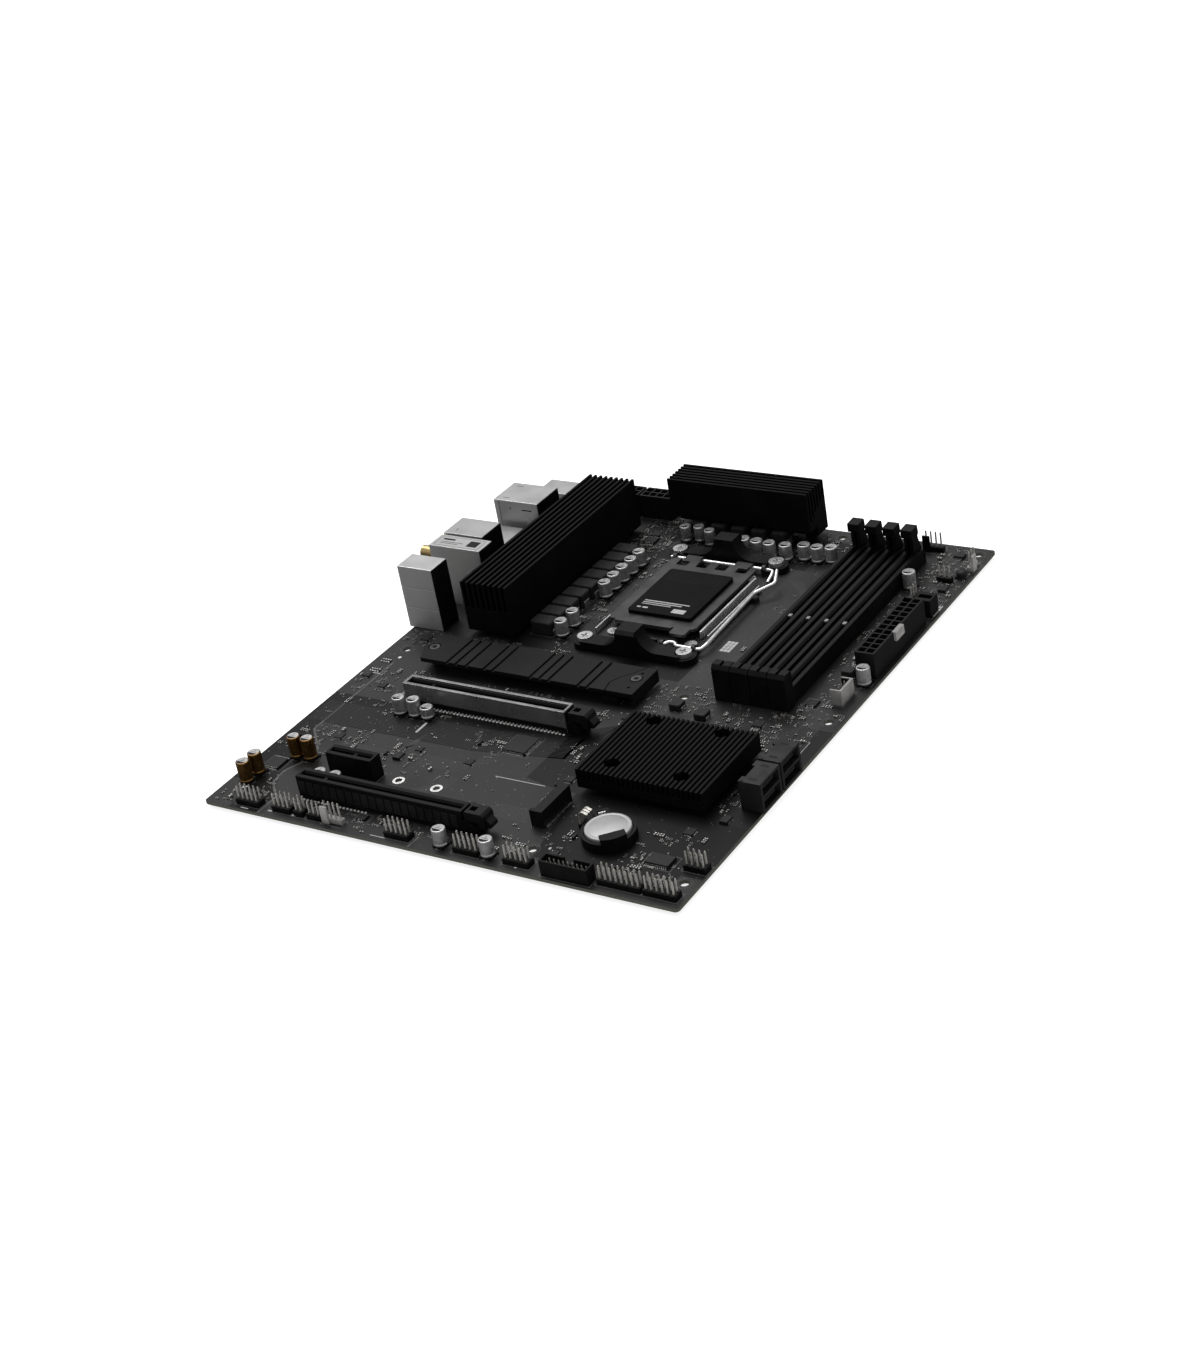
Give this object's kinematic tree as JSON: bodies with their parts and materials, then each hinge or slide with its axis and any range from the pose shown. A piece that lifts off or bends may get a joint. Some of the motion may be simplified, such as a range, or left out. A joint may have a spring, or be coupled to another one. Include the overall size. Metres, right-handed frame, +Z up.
{
  "type": "motherboard",
  "caption": "Full-size desktop computer motherboard with a covered processor socket, finned black heatsinks, memory and expansion slots and rear connectors.",
  "frame": {"origin": "under the middle of the whole part, at the level of its lowest face", "axes": "+X from the rear connectors to the front edge, +Y from the lower edge to the edge with the processor power connectors, +Z up from the component side"},
  "size_m": [0.2556, 0.3048, 0.0371],
  "materials": {
    "board": "matt black solder mask over woven glass laminate",
    "black_steel": "black coated stamped steel, satin",
    "bright_steel": "plated steel, bright satin",
    "nickel_wire": "nickel plated wire, bright",
    "black_plastic": "moulded black plastic, fine satin",
    "charcoal_plastic": "moulded charcoal plastic, satin",
    "pale_plastic": "moulded pale plastic, satin",
    "sink_metal": "black anodised extruded aluminium, fine grain",
    "can_metal": "bare aluminium can, satin",
    "gold_can": "gold coloured sleeve with bare top",
    "contact_gold": "thin gold plating",
    "jack_body": "grey moulded plastic, satin",
    "chip_resin": "black moulded resin, matt",
    "pad_rubber": "soft grey thermal pad",
    "card_green": "dark green solder mask",
    "tin": "tin solder, satin"
  },
  "bodies": {
    "root": {"pcb": "board", "backplate": "black_steel", "socket_housing": "charcoal_plastic", "socket_contacts": "contact_gold", "socket_frame": "black_steel", "socket_screws": "bright_steel", "hinge_wire": "nickel_wire", "cooler_bracket_near": "black_plastic", "cooler_bracket_far": "black_plastic", "vrm_heatsink_left": "sink_metal", "vrm_heatsink_top": "sink_metal", "thermal_pads": "pad_rubber", "power_stages": "chip_resin", "chips": "chip_resin", "chokes": "charcoal_plastic", "can_capacitors": "can_metal", "audio_capacitors": "gold_can", "memory_slot_1": "black_plastic", "memory_slot_2": "black_plastic", "memory_slot_3": "black_plastic", "memory_slot_4": "black_plastic", "graphics_slot": "black_plastic", "graphics_slot_armour": "bright_steel", "lower_slot": "black_plastic", "short_card_slot": "black_plastic", "drive_heatsink": "sink_metal", "drive_heatsink_end": "sink_metal", "heatsink_screws": "black_steel", "drive_sockets": "black_plastic", "chipset_heatsink": "sink_metal", "chipset": "chip_resin", "sata_ports_near": "black_plastic", "sata_ports_far": "black_plastic", "battery_holder": "black_plastic", "battery_contact": "nickel_wire", "main_power_connector": "charcoal_plastic", "cpu_power_connectors": "charcoal_plastic", "header_bases": "black_plastic", "fan_headers": "pale_plastic", "header_pins": "contact_gold", "usb_header": "black_plastic", "audio_jacks": "jack_body", "wireless_shield": "bright_steel", "wireless_module": "card_green", "antenna_connectors": "contact_gold", "network_stack": "bright_steel", "usb_ports": "bright_steel", "display_stack": "bright_steel", "solder_joints": "tin"},
    "load_plate": {"load_plate": "black_steel"},
    "load_lever": {"load_lever": "nickel_wire"},
    "socket_cap": {"socket_cap": "black_plastic"},
    "memory_latch_1": {"memory_latch_1": "charcoal_plastic"},
    "memory_latch_2": {"memory_latch_2": "charcoal_plastic"},
    "memory_latch_3": {"memory_latch_3": "charcoal_plastic"},
    "memory_latch_4": {"memory_latch_4": "charcoal_plastic"},
    "graphics_latch": {"graphics_latch": "black_plastic"},
    "lower_latch": {"lower_latch": "black_plastic"},
    "coin_cell": {"coin_cell": "bright_steel"},
    "bios_button": {"bios_button": "charcoal_plastic"}
  },
  "joints": [
    {"name": "load_lever_hinge", "type": "hinge", "parent": "root", "child": "load_lever", "pos_m": [0.02553, 0.0236, 0.0065], "axis": [1, 0, 0], "range_deg": [0, 110]},
    {"name": "load_plate_hinge", "type": "hinge", "parent": "root", "child": "load_plate", "pos_m": [0.00553, 0.0996, 0.0076], "axis": [-1, 0, 0], "range_deg": [0, 100]},
    {"name": "socket_cap_lift", "type": "slide", "parent": "load_plate", "child": "socket_cap", "axis": [0, 0, 1], "range_m": [0, 0.02]},
    {"name": "memory_latch_1_hinge", "type": "hinge", "parent": "root", "child": "memory_latch_1", "pos_m": [0.06793, 0.1312, 0.0076], "axis": [-1, 0, 0], "range_deg": [0, 35]},
    {"name": "memory_latch_2_hinge", "type": "hinge", "parent": "root", "child": "memory_latch_2", "pos_m": [0.07723, 0.1312, 0.0076], "axis": [-1, 0, 0], "range_deg": [0, 35]},
    {"name": "memory_latch_3_hinge", "type": "hinge", "parent": "root", "child": "memory_latch_3", "pos_m": [0.08653, 0.1312, 0.0076], "axis": [-1, 0, 0], "range_deg": [0, 35]},
    {"name": "memory_latch_4_hinge", "type": "hinge", "parent": "root", "child": "memory_latch_4", "pos_m": [0.09583, 0.1312, 0.0076], "axis": [-1, 0, 0], "range_deg": [0, 35]},
    {"name": "graphics_latch_hinge", "type": "hinge", "parent": "root", "child": "graphics_latch", "pos_m": [0.01783, -0.0507, 0.0068], "axis": [0, 1, 0], "range_deg": [0, 18]},
    {"name": "lower_latch_hinge", "type": "hinge", "parent": "root", "child": "lower_latch", "pos_m": [0.01783, -0.1319, 0.0068], "axis": [0, 1, 0], "range_deg": [0, 18]},
    {"name": "coin_cell_tilt", "type": "hinge", "parent": "root", "child": "coin_cell", "pos_m": [0.07976, -0.12293, 0.0095], "axis": [0.7071, 0.7071, 0], "range_deg": [0, 14]},
    {"name": "bios_button_press", "type": "slide", "parent": "root", "child": "bios_button", "axis": [1, 0, 0], "range_m": [0, 0.0008], "stiffness_N_per_m": 400, "springref_m": -0.0004}
  ]
}
